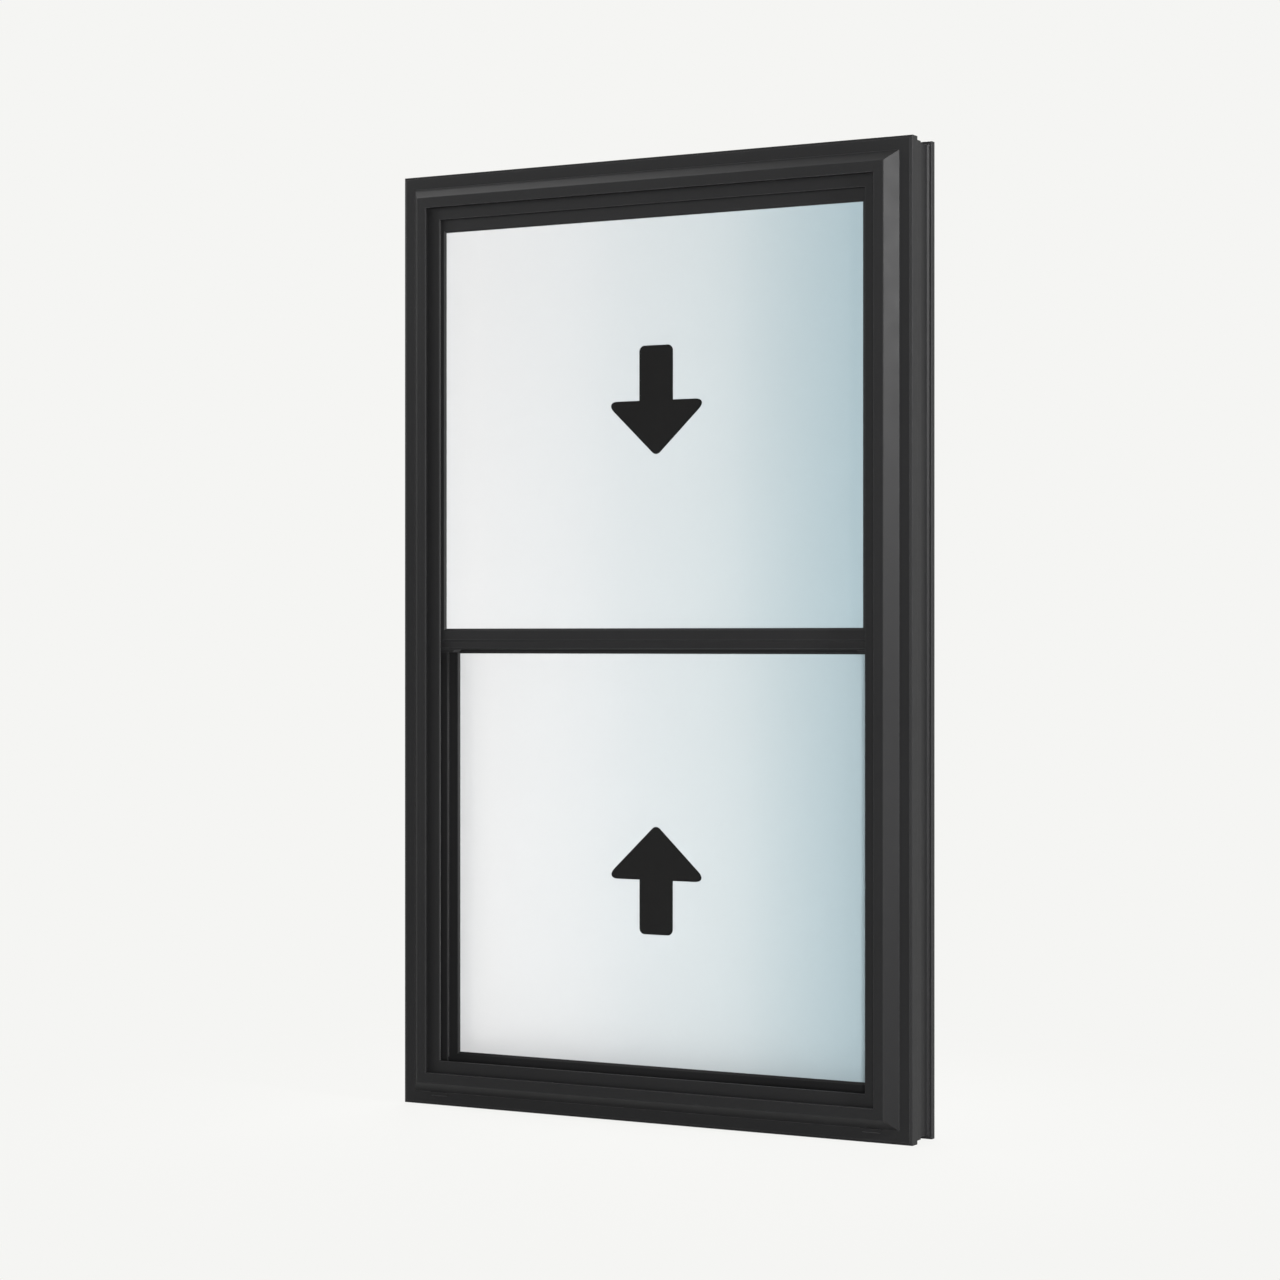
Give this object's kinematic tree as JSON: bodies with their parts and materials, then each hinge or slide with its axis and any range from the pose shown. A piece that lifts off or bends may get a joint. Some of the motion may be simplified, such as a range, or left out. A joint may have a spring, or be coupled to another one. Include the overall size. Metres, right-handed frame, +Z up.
{
  "type": "double hung window",
  "caption": "Black double hung window unit: a bevelled frame with an upper and a lower sash of sealed glass that slide past each other in their own tracks.",
  "frame": {"origin": "middle of the sill flange's underside, the face that stands on the wall's rough sill", "axes": "+X to the right seen from outdoors, +Y indoors, +Z up"},
  "size_m": [0.9144, 0.1056, 1.524],
  "materials": {
    "frame": "satin black extruded vinyl",
    "sash": "satin black extruded vinyl",
    "glass": "pale coated glass, bluer to one side",
    "spacer": "black foam bar",
    "pile": "black pile",
    "seal": "black bulb seal",
    "balance_shoe": "dark grey moulding",
    "hardware": "satin black"
  },
  "bodies": {
    "frame": {"frame_head": "frame", "frame_sill": "frame", "frame_jamb_left": "frame", "frame_jamb_right": "frame", "sill_weep_cover_left": "frame", "sill_weep_cover_right": "frame", "outer_pile_left": "pile", "outer_pile_right": "pile", "parting_pile_left": "pile", "parting_pile_right": "pile"},
    "upper_sash": {"upper_top_rail": "sash", "upper_meeting_rail": "sash", "upper_stile_left": "sash", "upper_stile_right": "sash", "upper_pane_outer": "glass", "upper_pane_inner": "glass", "upper_spacer": "spacer", "upper_bead_left": "sash", "upper_bead_right": "sash", "upper_bead_top": "sash", "upper_bead_bottom": "sash", "upper_balance_shoe_left": "balance_shoe", "upper_balance_shoe_right": "balance_shoe", "upper_keeper_left": "hardware", "upper_keeper_right": "hardware", "upper_head_seal": "seal"},
    "lower_sash": {"lower_meeting_rail": "sash", "lower_bottom_rail": "sash", "lower_stile_left": "sash", "lower_stile_right": "sash", "lower_pane_outer": "glass", "lower_pane_inner": "glass", "lower_spacer": "spacer", "lower_bead_left": "sash", "lower_bead_right": "sash", "lower_bead_top": "sash", "lower_bead_bottom": "sash", "lower_balance_shoe_left": "balance_shoe", "lower_balance_shoe_right": "balance_shoe", "lower_lock_base_left": "hardware", "lower_lock_base_right": "hardware", "lower_lock_lever_left": "hardware", "lower_lock_lever_right": "hardware", "lower_lift_rail": "sash", "lower_sill_seal": "seal"}
  },
  "joints": [
    {"name": "upper_sash_slide", "type": "slide", "parent": "frame", "child": "upper_sash", "axis": [0, 0, -1], "range_m": [0, 0.67]},
    {"name": "lower_sash_slide", "type": "slide", "parent": "frame", "child": "lower_sash", "axis": [0, 0, 1], "range_m": [0, 0.67]}
  ]
}
